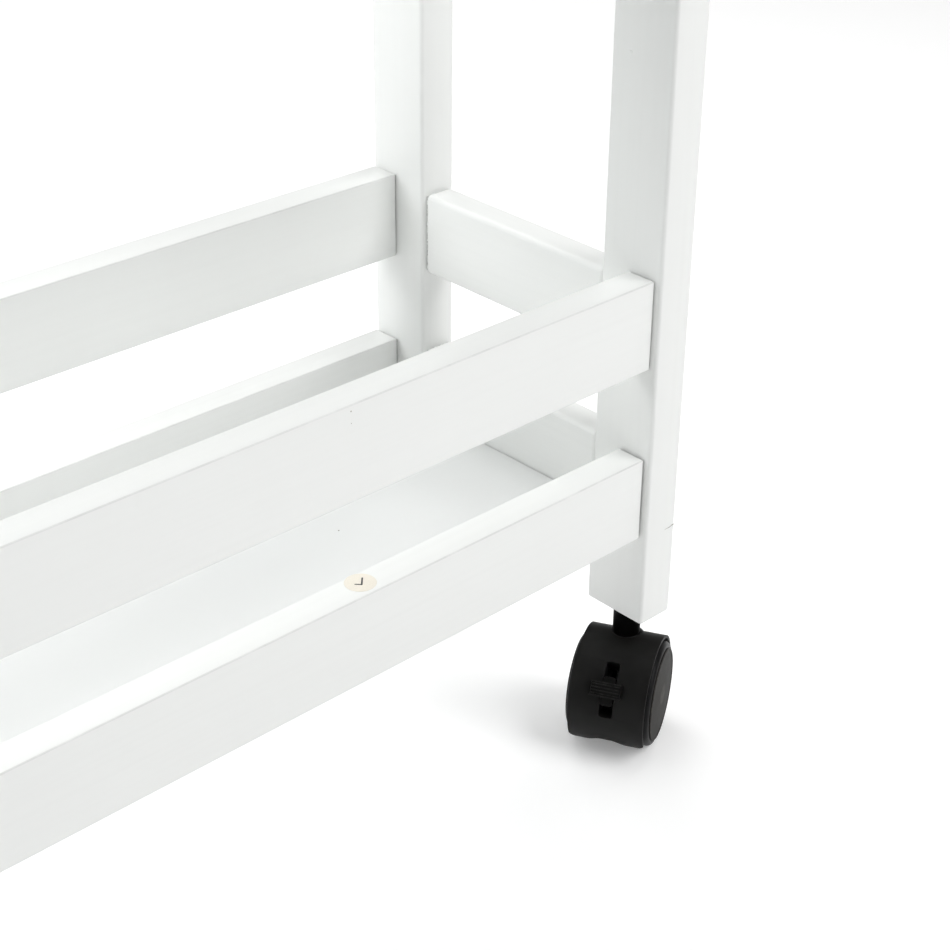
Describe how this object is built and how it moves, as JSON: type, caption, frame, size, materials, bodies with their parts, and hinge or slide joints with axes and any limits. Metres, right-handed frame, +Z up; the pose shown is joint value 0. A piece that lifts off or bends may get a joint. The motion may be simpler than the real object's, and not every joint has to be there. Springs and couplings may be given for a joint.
{
  "type": "rolling pantry cart",
  "caption": "Slim white wooden rolling pantry cart with railed trays stacked between corner posts, standing on hooded twin-wheel swivel casters with foot brakes on the front pair.",
  "frame": {"origin": "on the floor, under the middle of the cart's bounding box", "axes": "+X along the cart to its right-hand end, -Y to its front, +Z up"},
  "size_m": [0.6, 0.2192, 0.8759],
  "materials": {
    "frame_paint": "satin white paint over wood",
    "shelf_paint": "smooth white lacquered board",
    "caster_plastic": "satin black moulded plastic",
    "wheel_plastic": "satin black moulded plastic, a little greyer than the hood",
    "zinc_steel": "plain zinc plated steel",
    "black_steel": "satin blackened steel"
  },
  "bodies": {
    "frame": {"post_front_right": "frame_paint", "post_front_left": "frame_paint", "post_back_right": "frame_paint", "post_back_left": "frame_paint", "bottom_rail_front_low": "frame_paint", "bottom_rail_front_high": "frame_paint", "bottom_rail_back_low": "frame_paint", "bottom_rail_back_high": "frame_paint", "bottom_end_right_low": "frame_paint", "bottom_end_right_high": "frame_paint", "bottom_end_left_low": "frame_paint", "bottom_end_left_high": "frame_paint", "bottom_shelf": "shelf_paint", "middle_rail_front_low": "frame_paint", "middle_rail_front_high": "frame_paint", "middle_rail_back_low": "frame_paint", "middle_rail_back_high": "frame_paint", "middle_end_right_low": "frame_paint", "middle_end_right_high": "frame_paint", "middle_end_left_low": "frame_paint", "middle_end_left_high": "frame_paint", "middle_shelf": "shelf_paint", "top_rail_front_low": "frame_paint", "top_rail_front_high": "frame_paint", "top_rail_back_low": "frame_paint", "top_rail_back_high": "frame_paint", "top_end_right_low": "frame_paint", "top_end_right_high": "frame_paint", "top_end_left_low": "frame_paint", "top_end_left_high": "frame_paint", "top_shelf": "shelf_paint", "caster_front_right_stem": "black_steel", "caster_front_left_stem": "black_steel", "caster_back_right_stem": "black_steel", "caster_back_left_stem": "black_steel"},
    "caster_front_right": {"caster_front_right_hood": "caster_plastic", "caster_front_right_axle": "zinc_steel"},
    "caster_front_right_wheel_a": {"caster_front_right_wheel_a": "wheel_plastic"},
    "caster_front_right_wheel_b": {"caster_front_right_wheel_b": "wheel_plastic"},
    "caster_front_right_brake": {"caster_front_right_brake": "caster_plastic"},
    "caster_front_left": {"caster_front_left_hood": "caster_plastic", "caster_front_left_axle": "zinc_steel"},
    "caster_front_left_wheel_a": {"caster_front_left_wheel_a": "wheel_plastic"},
    "caster_front_left_wheel_b": {"caster_front_left_wheel_b": "wheel_plastic"},
    "caster_front_left_brake": {"caster_front_left_brake": "caster_plastic"},
    "caster_back_right": {"caster_back_right_hood": "caster_plastic", "caster_back_right_axle": "zinc_steel"},
    "caster_back_right_wheel_a": {"caster_back_right_wheel_a": "wheel_plastic"},
    "caster_back_right_wheel_b": {"caster_back_right_wheel_b": "wheel_plastic"},
    "caster_back_left": {"caster_back_left_hood": "caster_plastic", "caster_back_left_axle": "zinc_steel"},
    "caster_back_left_wheel_a": {"caster_back_left_wheel_a": "wheel_plastic"},
    "caster_back_left_wheel_b": {"caster_back_left_wheel_b": "wheel_plastic"}
  },
  "joints": [
    {"name": "caster_front_right_swivel", "type": "hinge", "parent": "frame", "child": "caster_front_right", "pos_m": [0.26175, -0.07635, 0.0699], "axis": [0, 0, 1], "continuous": true},
    {"name": "caster_front_right_wheel_a_spin", "type": "hinge", "parent": "caster_front_right", "child": "caster_front_right_wheel_a", "pos_m": [0.2556, -0.0797, 0.0258], "axis": [0.4787, -0.878, 0], "continuous": true},
    {"name": "caster_front_right_wheel_b_spin", "type": "hinge", "parent": "caster_front_right", "child": "caster_front_right_wheel_b", "pos_m": [0.2556, -0.0797, 0.0258], "axis": [0.4787, -0.878, 0], "continuous": true},
    {"name": "caster_front_right_brake_press", "type": "hinge", "parent": "caster_front_right", "child": "caster_front_right_brake", "pos_m": [0.2556, -0.0797, 0.0258], "axis": [0.4787, -0.878, 0], "range_deg": [-14, 12]},
    {"name": "caster_front_left_swivel", "type": "hinge", "parent": "frame", "child": "caster_front_left", "pos_m": [-0.26175, -0.07635, 0.0699], "axis": [0, 0, 1], "continuous": true},
    {"name": "caster_front_left_wheel_a_spin", "type": "hinge", "parent": "caster_front_left", "child": "caster_front_left_wheel_a", "pos_m": [-0.26864, -0.07757, 0.0258], "axis": [0.1736, -0.9848, 0], "continuous": true},
    {"name": "caster_front_left_wheel_b_spin", "type": "hinge", "parent": "caster_front_left", "child": "caster_front_left_wheel_b", "pos_m": [-0.26864, -0.07757, 0.0258], "axis": [0.1736, -0.9848, 0], "continuous": true},
    {"name": "caster_front_left_brake_press", "type": "hinge", "parent": "caster_front_left", "child": "caster_front_left_brake", "pos_m": [-0.26864, -0.07757, 0.0258], "axis": [0.1736, -0.9848, 0], "range_deg": [-14, 12]},
    {"name": "caster_back_right_swivel", "type": "hinge", "parent": "frame", "child": "caster_back_right", "pos_m": [0.26175, 0.07635, 0.0699], "axis": [0, 0, 1], "continuous": true},
    {"name": "caster_back_right_wheel_a_spin", "type": "hinge", "parent": "caster_back_right", "child": "caster_back_right_wheel_a", "pos_m": [0.26864, 0.07757, 0.0258], "axis": [-0.1736, 0.9848, 0], "continuous": true},
    {"name": "caster_back_right_wheel_b_spin", "type": "hinge", "parent": "caster_back_right", "child": "caster_back_right_wheel_b", "pos_m": [0.26864, 0.07757, 0.0258], "axis": [-0.1736, 0.9848, 0], "continuous": true},
    {"name": "caster_back_left_swivel", "type": "hinge", "parent": "frame", "child": "caster_back_left", "pos_m": [-0.26175, 0.07635, 0.0699], "axis": [0, 0, 1], "continuous": true},
    {"name": "caster_back_left_wheel_a_spin", "type": "hinge", "parent": "caster_back_left", "child": "caster_back_left_wheel_a", "pos_m": [-0.2556, 0.0797, 0.0258], "axis": [-0.4787, 0.878, 0], "continuous": true},
    {"name": "caster_back_left_wheel_b_spin", "type": "hinge", "parent": "caster_back_left", "child": "caster_back_left_wheel_b", "pos_m": [-0.2556, 0.0797, 0.0258], "axis": [-0.4787, 0.878, 0], "continuous": true}
  ]
}
